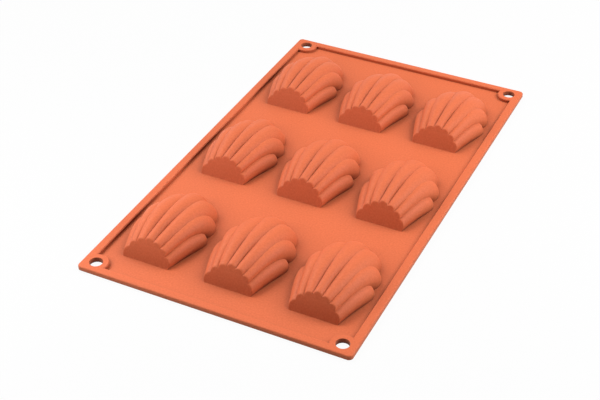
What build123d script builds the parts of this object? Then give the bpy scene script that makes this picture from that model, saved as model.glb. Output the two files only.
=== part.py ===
from build123d import *
import math
import os

os.makedirs("parts", exist_ok=True)

# Overall size and thickness of the moulding, in millimetres
LENGTH = 300.0
WIDTH = 175.0
SHEET = 1.1
WALL = 1.2

# Raised border
BORDER_WIDTH = 5.5
BORDER_HEIGHT = 3.3
CORNER_RADIUS = 2.8
EDGE_ROUNDING = 0.9
UNDERSIDE_BEVEL = 0.5
STEP_BEVEL = 0.5

# Round eyelets in the corners
HOLE_X = 78.9
HOLE_Y = 142.1
HOLE_RADIUS = 4.1
EYELET_RADIUS = 7.7
CORNER_SPAN = 20.0

# Three rows of three cups, with the place of each flat end's foot
COLUMNS = (("left", -54.3), ("middle", 0.0), ("right", 54.3))
ROWS = (("front", -128.0), ("middle", -34.4), ("back", 59.2))

# The flat end of a cup leans back from upright
LEAN = math.radians(24)

# Half of a cup's seven ribs, from the middle one to the side one.
# Each is round in section and follows a curve over the cup:
# across, height and radius where it starts on the flat end,
# across, along, height and radius of the point that pulls it up,
# across, along and radius where it lands on the sheet.
RIBS = (
    ((0.0, 10.6, 3.2), (0.0, 35.5, 17.2, 2.4), (0.0, 56.4, 10.9)),
    ((4.45, 9.25, 3.2), (9.9, 35.4, 12.2, 6.5), (7.4, 52.1, 10.8)),
    ((8.75, 6.45, 3.3), (15.0, 34.0, 11.95, 4.6), (12.8, 41.8, 10.0)),
    ((10.6, 1.2, 4.6), (16.0, 20.6, 5.0, 5.6), (16.7, 29.8, 7.25)),
)
SIDE_RIB = len(RIBS) - 1
STEPS_PER_RIB = 60

# Sections of a cup fan out about its foot line, in degrees above the sheet,
# and one of them goes through the highest point of the middle rib
FLAT_END = 90 - math.degrees(LEAN)
FAN = (48, 38, 30.14, 22, 15, 8, 0)

# The edge of the flat end is cut back by this much, up to this angle
FLAT_EDGE = 0.5
FLAT_EDGE_STOP = 63

# Rays of a section leave from this share of the way up to the middle rib
RAY_START = 0.35
RAY_TURN_ERROR = 1e-7

# Flat strips on each rib outside and inside, of which the middle one has half
STRIPS_OUTSIDE = (3, 6, 5, 5)
STRIPS_INSIDE = (2, 4, 4, 5)
CUP_MIDDLE = (0.0, 30.0, 0.0)

# The wall is a little thicker under the valleys between the ribs
VALLEY_WALL = 1.2


def curve(t, start, pull, end):
    return (1 - t) ** 2 * start + 2 * t * (1 - t) * pull + t * t * end


def rib_course(rib):
    """Centres and radii of the round sections along one rib."""
    (u0, z0, r0), (u1, v1, z1, r1), (u2, v2, r2) = rib
    v0 = z0 * math.tan(LEAN)
    course = []
    for step in range(STEPS_PER_RIB + 1):
        t = step / STEPS_PER_RIB
        centre = (curve(t, u0, u1, u2), curve(t, v0, v1, v2), curve(t, z0, z1, 0))
        course.append((centre, curve(t, r0, r1, r2)))
    return course


COURSES = [rib_course(rib) for rib in RIBS]


def reach(course, inset, origin, heading):
    """How far a ray from inside the cup runs before it leaves a rib."""
    far = 0.0
    for centre, radius in course:
        gap = [c - o for c, o in zip(centre, origin)]
        along = sum(g * h for g, h in zip(gap, heading))
        square = along * along - sum(g * g for g in gap) + (radius - inset) ** 2
        if square > 0:
            far = max(far, along + math.sqrt(square))
    return far


class Section:
    """A plane through the foot line and its cut through half a cup."""

    def __init__(self, degrees, inset, edge=0.0):
        self.rise = math.radians(degrees)
        self.inset = inset
        self.edge = edge
        self.foot = inset / math.cos(LEAN)
        crest = reach(COURSES[0], inset, (0.0, self.foot, 0.0), self.heading(math.pi / 2))
        side = reach(COURSES[SIDE_RIB], inset + edge, (0.0, self.foot, 0.0), (1.0, 0.0, 0.0))
        depth = RAY_START * crest
        self.origin = (0.0, self.foot + depth * math.cos(self.rise), depth * math.sin(self.rise))
        self.corner = (side, self.foot, 0.0)
        self.lowest = -math.atan2(depth, side)

    def heading(self, turn):
        along = math.sin(turn)
        return math.cos(turn), along * math.cos(self.rise), along * math.sin(self.rise)

    def point(self, turn, far):
        return tuple(o + far * h for o, h in zip(self.origin, self.heading(turn)))

    def reach(self, rib, turn, inset):
        return reach(COURSES[rib], inset, self.origin, self.heading(turn))

    def leader(self, turn):
        """The rib whose outside this ray crosses last."""
        far = [self.reach(rib, turn, self.edge) for rib in range(len(RIBS))]
        return far.index(max(far))

    def valley(self, rib):
        """The turn at which a rib hands over to its neighbour inwards."""
        low, high = self.lowest, math.pi / 2
        while high - low > RAY_TURN_ERROR:
            middle = (low + high) / 2
            if self.leader(middle) >= rib:
                low = middle
            else:
                high = middle
        return low

    def floor(self, turn, ends):
        """How far the plain wall between two valleys is along a ray."""
        (turn_a, far_a), (turn_b, far_b) = ends
        across = far_a * math.sin(turn - turn_a) + far_b * math.sin(turn_b - turn)
        return far_a * far_b * math.sin(turn_b - turn_a) / across

    def half_outline(self, strips):
        """Points from the foot corner to the top of the middle rib."""
        points = [self.corner]
        start = (self.lowest, math.dist(self.origin, self.corner))
        for rib in range(SIDE_RIB, -1, -1):
            turn = self.valley(rib) if rib else math.pi / 2
            wall = VALLEY_WALL * self.inset if rib else self.inset
            end = (turn, self.reach(rib, turn, self.edge) - wall)
            for step in range(1, strips[rib]):
                turn = start[0] + (end[0] - start[0]) * spread(rib, step / strips[rib])
                far = self.reach(rib, turn, self.inset + self.edge)
                far = max(far, self.floor(turn, (start, end)))
                points.append(self.point(turn, far))
            points.append(self.point(*end))
            start = end
        return points

    def outline(self, strips):
        """Points over the whole cup, from one foot corner to the other."""
        half = self.half_outline(strips)
        return half + [(-u, v, z) for u, v, z in reversed(half[:-1])]


def spread(rib, share):
    """Closer points next to a valley, where the rib is steep."""
    if rib == SIDE_RIB:
        return math.sin(share * math.pi / 2)
    if rib == 0:
        return 1 - math.cos(share * math.pi / 2)
    return (1 - math.cos(share * math.pi)) / 2


def facets(a, b, c, d):
    """Flat triangles between two sections, split where the surface stands out."""
    if a == d:
        corners = [(a, b, c)]
    elif b == c:
        corners = [(a, b, d)]
    elif bulge(a, c) > bulge(b, d):
        corners = [(a, b, c), (a, c, d)]
    else:
        corners = [(a, b, d), (b, c, d)]
    return [Face(Wire.make_polygon(triangle)) for triangle in corners]


def bulge(p, q):
    """Distance from the inside of the cup to the middle of a line."""
    return math.dist(CUP_MIDDLE, [(a + b) / 2 for a, b in zip(p, q)])


def skin(outlines):
    """Facets over one side of the wall, with the flat end's face."""
    faces = [Face(Wire.make_polygon(outlines[0]))]
    for low, high in zip(outlines, outlines[1:]):
        for i in range(len(low) - 1):
            faces += facets(low[i], low[i + 1], high[i + 1], high[i])
    return faces


def outside_outlines():
    sections = [Section(FLAT_END, 0.0, FLAT_EDGE), Section(FLAT_EDGE_STOP, 0.0)]
    sections += [Section(degrees, 0.0) for degrees in FAN]
    return [section.outline(STRIPS_OUTSIDE) for section in sections]


def inside_outlines():
    sections = [Section(degrees, WALL) for degrees in (FLAT_END, *FAN)]
    return [section.outline(STRIPS_INSIDE) for section in sections]


def cup(outside, inside):
    """One thin-walled shell with seven ribs, open towards the sheet."""
    edge_ends = [outside[0][-1], outside[0][0]]
    foot = Face(Wire.make_polygon(outside[-1] + edge_ends), [Wire.make_polygon(inside[-1])])
    return Solid(Shell(skin(outside) + skin(inside) + [foot]))


def corner_circles(radius):
    return Sketch() + GridLocations(2 * HOLE_X, 2 * HOLE_Y, 2, 2) * Circle(radius)


def sheet_plan():
    """The area inside the border and its eyelets."""
    inner = Rectangle(WIDTH - 2 * BORDER_WIDTH, LENGTH - 2 * BORDER_WIDTH)
    return inner - corner_circles(EYELET_RADIUS)


def cup_places():
    return {
        f"cup_{row}_{column}": Pos(x, y, 0)
        for row, y in ROWS
        for column, x in COLUMNS
    }


def sheet(inside):
    """Thin sheet with an opening into each cup."""
    body = extrude(sheet_plan(), SHEET)
    opening = extrude(Face(Wire.make_polygon(inside[-1])), SHEET)
    for place in cup_places().values():
        body -= place * opening
    return body


def border():
    """The raised ring round the sheet, before it is divided."""
    ring = extrude(RectangleRounded(WIDTH, LENGTH, CORNER_RADIUS) - sheet_plan(), BORDER_HEIGHT)
    step_down = ring.faces().sort_by(Axis.Z)[-1].inner_wires()[0]
    ring = chamfer(step_down.edges(), STEP_BEVEL)
    rim = ring.faces().sort_by(Axis.Z)[-1].outer_wire()
    ring = fillet(rim.edges(), EDGE_ROUNDING)
    under_rim = ring.faces().sort_by(Axis.Z)[0].outer_wire()
    ring = chamfer(under_rim.edges(), UNDERSIDE_BEVEL)
    return ring - extrude(corner_circles(HOLE_RADIUS), BORDER_HEIGHT)


def border_pieces():
    """The short sides, which carry the eyelets, and the long sides between them."""
    ring = border()
    block = Pos(0, 0, BORDER_HEIGHT) * Box(WIDTH, LENGTH - 2 * CORNER_SPAN, 2 * BORDER_HEIGHT)
    left, right = (ring & block).solids().sort_by(Axis.X)
    front, back = (ring - block).solids().sort_by(Axis.Y)
    return {
        "border_left": left,
        "border_right": right,
        "border_front": front,
        "border_back": back,
    }


def build():
    outside = outside_outlines()
    inside = inside_outlines()
    one_cup = Pos(0, 0, SHEET) * cup(outside, inside)
    pieces = {"sheet": sheet(inside)}
    pieces.update(border_pieces())
    for name, place in cup_places().items():
        pieces[name] = place * one_cup
    return pieces


for name, piece in build().items():
    export_step(piece, f"parts/{name}.step")
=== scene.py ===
import math

import bmesh
import bpy
import numpy as np
from mathutils import Matrix, Vector


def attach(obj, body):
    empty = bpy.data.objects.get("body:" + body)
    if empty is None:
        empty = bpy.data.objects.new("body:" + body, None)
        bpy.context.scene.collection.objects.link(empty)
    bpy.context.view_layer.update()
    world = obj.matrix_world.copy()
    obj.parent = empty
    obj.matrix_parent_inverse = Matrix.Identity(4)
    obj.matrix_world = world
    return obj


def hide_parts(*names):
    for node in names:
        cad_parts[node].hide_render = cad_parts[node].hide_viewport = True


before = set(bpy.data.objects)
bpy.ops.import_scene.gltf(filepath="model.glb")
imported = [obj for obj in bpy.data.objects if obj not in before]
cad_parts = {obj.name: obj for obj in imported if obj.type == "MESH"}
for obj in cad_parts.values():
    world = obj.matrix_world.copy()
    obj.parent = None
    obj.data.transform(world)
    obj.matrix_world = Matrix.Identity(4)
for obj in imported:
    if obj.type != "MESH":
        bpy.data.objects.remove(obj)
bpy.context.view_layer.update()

MM = 0.001

# Sizes shared with the part, in millimetres
SHEET = 1.1
WALL = 1.2
LEAN = math.radians(24)
COLUMNS = (("left", -54.3), ("middle", 0.0), ("right", 54.3))
ROWS = (("front", -128.0), ("middle", -34.4), ("back", 59.2))

# Half of a cup's seven ribs, from the middle one to the side one.
# Each is round in section and follows a curve over the cup:
# across, height and radius where it starts on the flat end,
# across, along, height and radius of the point that pulls it up,
# across, along and radius where it lands on the sheet.
RIBS = (
    ((0.0, 10.6, 3.2), (0.0, 35.5, 17.2, 2.4), (0.0, 56.4, 10.9)),
    ((4.45, 9.25, 3.2), (9.9, 35.4, 12.2, 6.5), (7.4, 52.1, 10.8)),
    ((8.75, 6.45, 3.3), (15.0, 34.0, 11.95, 4.6), (12.8, 41.8, 10.0)),
    ((10.6, 1.2, 4.6), (16.0, 20.6, 5.0, 5.6), (16.7, 29.8, 7.25)),
)
SIDE_RIB = len(RIBS) - 1

# How finely the cups are drawn: steps along a rib, sections over the cup and
# over the rounded edge of its flat end, and strips on each rib, of which the
# middle one has half
STEPS_PER_RIB = 160
SECTIONS = 40
EDGE_SECTIONS = 6
STRIPS = (8, 14, 14, 14)

# Rays of a section leave from this share of the way up to the middle rib,
# which they meet at this turn
RAY_START = 0.35
MIDDLE_TURN = math.pi / 2
TURN_ERROR = 1e-6

# The wall is a little thicker under the valleys between the ribs
VALLEY_WALL = 1.2

# Where the fan of sections starts, how far the flat end's edge is rounded,
# and the section through the highest point of the middle rib
FLAT_END = math.pi / 2 - LEAN
FLAT_EDGE = 0.5
FLAT_EDGE_STOP = math.radians(63)
CREST = math.radians(30.14)

# Points of a cup that lie closer than this are one, in metres, and edges
# sharper than these angles stay sharp, in degrees
WELD_DISTANCE = 2e-6
SHARP_ON_CUPS = 38
SHARP_ON_SHEET = 30

# Silicone, with lengths in metres
ROUGHNESS = 0.6
GLOSS = 0.32
GRAIN_SCALE = 900
GRAIN_DETAIL = 3
GRAIN_BUMP = 0.28
GRAIN_HEIGHT = 0.0002
# Reach of the ambient occlusion that paints shade into creases and hollows
PAINTED_SHADE_REACH = 0.02

# Its colour from the dips to the tops of the grain, and the shade painted on it
# from deep creases to open surfaces, dark and less red where more is hidden
TONES = ((0.25, (0.75, 0.153, 0.0535)), (0.75, (0.85, 0.19, 0.072)))
PAINTED_SHADES = (
    (0.15, (0.14, 0.16, 0.17)),
    (0.35, (0.48, 0.57, 0.62)),
    (0.55, (0.73, 0.84, 0.89)),
    (1.0, (1.0, 1.0, 1.0)),
)

# Floor, in metres, and how much of it shows as plain white
FLOOR_REACH = 4.0
FLOOR_GAP = 0.0001
FLOOR_COLOUR = (0.75, 0.75, 0.75, 1)
FLOOR_ROUGHNESS = 0.9
FLOOR_WHITE = 0.95

# Round soft lamps: degrees round from the back of the mould, degrees above
# the floor, distance and width in metres, and power in watts
LAMPS = (
    ("right", 60, 45, 0.85, 0.7, 5.5),
    ("left", -75, 45, 1.6, 1.3, 16.1),
    ("near left", -135, 30, 0.4, 0.2, 0.46),
    ("near right", 90, 20, 0.5, 0.3, 0.4),
)

# Photograph's camera, solved from the corners, holes and cups,
# with its place in millimetres and its angles in degrees
CAMERA_PLACE = (272.426, -598.896, 466.369)
CAMERA_YAW = -25.674
CAMERA_PITCH = 36.513
CAMERA_ROLL = 0.272
FOCAL_PIXELS = 1249.527
PHOTO_WIDTH = 600
SENSOR = 36.0
CLIP_START = 0.01
CLIP_END = 20


def curve(t, start, pull, end):
    return (1 - t) ** 2 * start + 2 * t * (1 - t) * pull + t * t * end


def rib_course(rib):
    """Centres and radii of the round sections along one rib."""
    (u0, z0, r0), (u1, v1, z1, r1), (u2, v2, r2) = rib
    t = np.linspace(0, 1, STEPS_PER_RIB + 1)
    v0 = z0 * math.tan(LEAN)
    centres = [curve(t, u0, u1, u2), curve(t, v0, v1, v2), curve(t, z0, z1, 0)]
    return np.stack(centres, axis=1), curve(t, r0, r1, r2)


COURSES = [rib_course(rib) for rib in RIBS]


def reach(course, inset, origin, heading):
    """How far a ray from inside the cup runs before it leaves a rib."""
    centres, radii = course
    gap = centres - origin
    along = gap @ heading
    square = along ** 2 - (gap ** 2).sum(axis=1) + (radii - inset) ** 2
    return float(np.where(square > 0, along + np.sqrt(np.maximum(square, 0)), 0).max())


class Section:
    """A plane through the foot line and its cut through half a cup."""

    def __init__(self, rise, inset, edge):
        self.rise = rise
        self.inset = inset
        self.edge = edge
        foot = np.array((0.0, inset / math.cos(LEAN), 0.0))
        crest = reach(COURSES[0], inset, foot, self.heading(MIDDLE_TURN))
        side = reach(COURSES[SIDE_RIB], inset + edge, foot, self.heading(0))
        depth = RAY_START * crest
        self.origin = foot + depth * self.heading(MIDDLE_TURN)
        self.corner = foot + np.array((side, 0.0, 0.0))
        self.lowest = -math.atan2(depth, side)

    def heading(self, turn):
        along = math.sin(turn)
        return np.array((math.cos(turn), along * math.cos(self.rise), along * math.sin(self.rise)))

    def point(self, turn, far):
        return self.origin + far * self.heading(turn)

    def reach(self, rib, turn, inset):
        return reach(COURSES[rib], inset, self.origin, self.heading(turn))

    def valley(self, rib):
        """The turn at which a rib hands over to its neighbour inwards."""
        low, high = self.lowest, MIDDLE_TURN
        while high - low > TURN_ERROR:
            middle = (low + high) / 2
            far = [self.reach(k, middle, self.edge) for k in range(len(RIBS))]
            if far.index(max(far)) >= rib:
                low = middle
            else:
                high = middle
        return low

    def half_outline(self):
        """Points from the foot corner to the top of the middle rib."""
        points = [self.corner]
        start = (self.lowest, float(np.linalg.norm(self.corner - self.origin)))
        for rib in range(SIDE_RIB, -1, -1):
            turn = self.valley(rib) if rib else MIDDLE_TURN
            wall = VALLEY_WALL * self.inset if rib else self.inset
            end = (turn, self.reach(rib, turn, self.edge) - wall)
            for step in range(1, STRIPS[rib]):
                turn = start[0] + (end[0] - start[0]) * spread(rib, step / STRIPS[rib])
                far = self.reach(rib, turn, self.inset + self.edge)
                points.append(self.point(turn, max(far, line_between(turn, start, end))))
            points.append(self.point(*end))
            start = end
        return points

    def outline(self):
        """Points over the whole cup, from one foot corner to the other."""
        half = self.half_outline()
        mirror = np.array((-1.0, 1.0, 1.0))
        return half + [point * mirror for point in reversed(half[:-1])]


def line_between(turn, start, end):
    """How far the straight line between two valleys is along a ray."""
    across = start[1] * math.sin(turn - start[0]) + end[1] * math.sin(end[0] - turn)
    return start[1] * end[1] * math.sin(end[0] - start[0]) / across


def spread(rib, share):
    """Closer points next to a valley, where the rib is steep."""
    if rib == SIDE_RIB:
        return math.sin(share * math.pi / 2)
    if rib == 0:
        return 1 - math.cos(share * math.pi / 2)
    return (1 - math.cos(share * math.pi)) / 2


def rises():
    """Angles of the sections above the sheet, with how far each is cut back."""
    places = []
    for step in range(EDGE_SECTIONS):
        share = (step / EDGE_SECTIONS) ** 2
        rise = FLAT_END + (FLAT_EDGE_STOP - FLAT_END) * share
        places.append((rise, FLAT_EDGE * (1 - math.sqrt(1 - (1 - share) ** 2))))
    low = round(SECTIONS * CREST / FLAT_EDGE_STOP)
    places += [(rise, 0.0) for rise in np.linspace(FLAT_EDGE_STOP, CREST, SECTIONS - low + 1)]
    shares = np.linspace(0, 1, low + 1)[1:]
    return places + [(CREST * (1 - math.sin(share * math.pi / 2)), 0.0) for share in shares]


def add_skin(points, faces, inset):
    """Adds one side of the wall and returns the points of its foot."""
    first = len(points)
    rows = [Section(rise, inset, 0.0 if inset else edge).outline() for rise, edge in rises()]
    wide = len(rows[0])
    skin = [list(range(first, first + wide))]
    for row in rows:
        points.extend(row)
    for j in range(len(rows) - 1):
        for i in range(wide - 1):
            a = first + j * wide + i
            skin.append([a + wide, a + 1 + wide, a + 1, a])
    faces += [face[::-1] for face in skin] if inset else skin
    last = first + (len(rows) - 1) * wide
    return list(range(last, last + wide))


def cup_mesh():
    """One closed, finely divided cup with its foot on z = 0."""
    points, faces = [], []
    outer = add_skin(points, faces, 0.0)
    inner = add_skin(points, faces, WALL)
    for i in range(len(outer) - 1):
        faces.append([outer[i], outer[i + 1], inner[i + 1], inner[i]])
    faces.append([outer[-1], outer[0], inner[0], inner[-1]])
    mesh = bpy.data.meshes.new("cup")
    mesh.from_pydata([tuple(p * MM) for p in points], [], faces)
    mesh.validate()
    return mesh


def weld(mesh):
    """Joins the points that all sections share at the foot corners."""
    shape = bmesh.new()
    shape.from_mesh(mesh)
    bmesh.ops.remove_doubles(shape, verts=shape.verts, dist=WELD_DISTANCE)
    bmesh.ops.recalc_face_normals(shape, faces=shape.faces)
    shape.to_mesh(mesh)
    shape.free()


def smooth(mesh, degrees):
    for polygon in mesh.polygons:
        polygon.use_smooth = True
    mesh.set_sharp_from_angle(angle=math.radians(degrees))


def silicone():
    """Matte terracotta silicone with a fine grain, with shade painted into its creases."""
    material = bpy.data.materials.new("silicone")
    material.use_nodes = True
    nodes = material.node_tree.nodes
    links = material.node_tree.links
    shader = nodes["Principled BSDF"]
    shader.inputs["Roughness"].default_value = ROUGHNESS
    shader.inputs["Specular IOR Level"].default_value = GLOSS
    place = nodes.new("ShaderNodeTexCoord")
    grain = nodes.new("ShaderNodeTexNoise")
    grain.inputs["Scale"].default_value = GRAIN_SCALE
    grain.inputs["Detail"].default_value = GRAIN_DETAIL
    links.new(place.outputs["Object"], grain.inputs["Vector"])
    tone = ramp(nodes, TONES)
    links.new(grain.outputs["Fac"], tone.inputs["Fac"])
    # Painted shade: ambient occlusion darkens the colour in creases, holes and at the feet of the
    # cups
    painted_shade_occlusion = nodes.new("ShaderNodeAmbientOcclusion")
    painted_shade_occlusion.inputs["Distance"].default_value = PAINTED_SHADE_REACH
    shade = ramp(nodes, PAINTED_SHADES)
    links.new(painted_shade_occlusion.outputs["AO"], shade.inputs["Fac"])
    shaded = nodes.new("ShaderNodeVectorMath")
    shaded.operation = "MULTIPLY"
    links.new(tone.outputs["Color"], shaded.inputs[0])
    links.new(shade.outputs["Color"], shaded.inputs[1])
    links.new(shaded.outputs["Vector"], shader.inputs["Base Color"])
    bump = nodes.new("ShaderNodeBump")
    bump.inputs["Strength"].default_value = GRAIN_BUMP
    bump.inputs["Distance"].default_value = GRAIN_HEIGHT
    links.new(grain.outputs["Fac"], bump.inputs["Height"])
    links.new(bump.outputs["Normal"], shader.inputs["Normal"])
    return material


def ramp(nodes, stops):
    node = nodes.new("ShaderNodeValToRGB")
    elements = node.color_ramp.elements
    for position, _ in stops[1:-1]:
        elements.new(position)
    for element, (position, colour) in zip(elements, stops):
        element.position = position
        element.color = (*colour, 1)
    return node


def dress(obj, material):
    obj.data.materials.clear()
    obj.data.materials.append(material)


def put(name, data):
    obj = bpy.data.objects.new(name, data)
    bpy.context.scene.collection.objects.link(obj)
    return obj


def put_cups(material):
    mesh = cup_mesh()
    weld(mesh)
    smooth(mesh, SHARP_ON_CUPS)
    for row, y in ROWS:
        for column, x in COLUMNS:
            node = f"cup_{row}_{column}"
            cup = put(f"{node}_dressed", mesh)
            cup.location = Vector((x, y, SHEET)) * MM
            dress(cup, material)
            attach(cup, "root")
            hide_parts(node)


def dress_sheet_and_border(material):
    for name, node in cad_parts.items():
        if not name.startswith("cup_"):
            dress(node, material)
            smooth(node.data, SHARP_ON_SHEET)


def background_rays(tree):
    """1 for the rays that show the white background, 0 for those that carry light."""
    ray = tree.nodes.new("ShaderNodeLightPath")
    seen = ray.outputs["Is Camera Ray"]
    for kind in ("Is Glossy Ray", "Is Transmission Ray"):
        either = tree.nodes.new("ShaderNodeMath")
        either.operation = "MAXIMUM"
        tree.links.new(seen, either.inputs[0])
        tree.links.new(ray.outputs[kind], either.inputs[1])
        seen = either.outputs["Value"]
    return seen


def show_white(tree, share, lit, white, output):
    """Mixes this share of plain white into what the lamps light."""
    mix = tree.nodes.new("ShaderNodeMixShader")
    tree.links.new(share, mix.inputs["Fac"])
    tree.links.new(lit, mix.inputs[1])
    tree.links.new(white, mix.inputs[2])
    tree.links.new(mix.outputs["Shader"], output.inputs["Surface"])


def floor_material():
    material = bpy.data.materials.new("floor")
    material.use_nodes = True
    tree = material.node_tree
    shader = tree.nodes["Principled BSDF"]
    shader.inputs["Base Color"].default_value = FLOOR_COLOUR
    shader.inputs["Roughness"].default_value = FLOOR_ROUGHNESS
    white = tree.nodes.new("ShaderNodeEmission")
    white.inputs["Strength"].default_value = 1.0
    share = tree.nodes.new("ShaderNodeMath")
    share.operation = "MULTIPLY"
    share.inputs[1].default_value = FLOOR_WHITE
    tree.links.new(background_rays(tree), share.inputs[0])
    show_white(
        tree,
        share.outputs["Value"],
        shader.outputs["BSDF"],
        white.outputs["Emission"],
        tree.nodes["Material Output"],
    )
    return material


def put_floor():
    far = FLOOR_REACH
    corners = [(-far, -far, 0), (far, -far, 0), (far, far, 0), (-far, far, 0)]
    mesh = bpy.data.meshes.new("floor")
    mesh.from_pydata(corners, [], [(0, 1, 2, 3)])
    mesh.materials.append(floor_material())
    floor = put("floor", mesh)
    floor.location.z = -FLOOR_GAP


def put_world():
    """A world that shows white and gives no light, which the lamps do."""
    world = bpy.data.worlds.new("studio")
    bpy.context.scene.world = world
    world.use_nodes = True
    tree = world.node_tree
    dark = tree.nodes["Background"]
    dark.inputs["Strength"].default_value = 0.0
    white = tree.nodes.new("ShaderNodeBackground")
    white.inputs["Color"].default_value = (1, 1, 1, 1)
    white.inputs["Strength"].default_value = 1.0
    show_white(
        tree,
        background_rays(tree),
        dark.outputs["Background"],
        white.outputs["Background"],
        tree.nodes["World Output"],
    )


def put_lamp(name, side, height, distance, size, power):
    """A lamp that looks at the middle of the mould."""
    side, height = math.radians(side), math.radians(height)
    across = distance * math.cos(height)
    place = Vector((
        across * math.sin(side),
        across * math.cos(side),
        distance * math.sin(height),
    ))
    data = bpy.data.lights.new(name, "AREA")
    data.shape = "DISK"
    data.size = size
    data.energy = power
    lamp = put(name, data)
    lamp.location = place
    lamp.rotation_euler = (-place).to_track_quat("-Z", "Y").to_euler()


def put_camera():
    yaw, pitch, roll = (math.radians(a) for a in (CAMERA_YAW, CAMERA_PITCH, CAMERA_ROLL))
    forward = Vector((
        math.sin(yaw) * math.cos(pitch),
        math.cos(yaw) * math.cos(pitch),
        -math.sin(pitch),
    ))
    level = Vector((math.cos(yaw), -math.sin(yaw), 0))
    upright = level.cross(forward)
    right = math.cos(roll) * level + math.sin(roll) * upright
    up = math.cos(roll) * upright - math.sin(roll) * level
    data = bpy.data.cameras.new("camera")
    data.sensor_width = SENSOR
    data.lens = FOCAL_PIXELS / PHOTO_WIDTH * SENSOR
    data.clip_start = CLIP_START
    data.clip_end = CLIP_END
    camera = put("camera", data)
    axes = Matrix((right, up, -forward)).transposed()
    camera.matrix_world = Matrix.Translation(Vector(CAMERA_PLACE) * MM) @ axes.to_4x4()
    bpy.context.scene.camera = camera


material = silicone()
put_cups(material)
dress_sheet_and_border(material)
put_floor()
put_world()
for lamp in LAMPS:
    put_lamp(*lamp)
put_camera()
bpy.context.scene.view_settings.view_transform = "Standard"
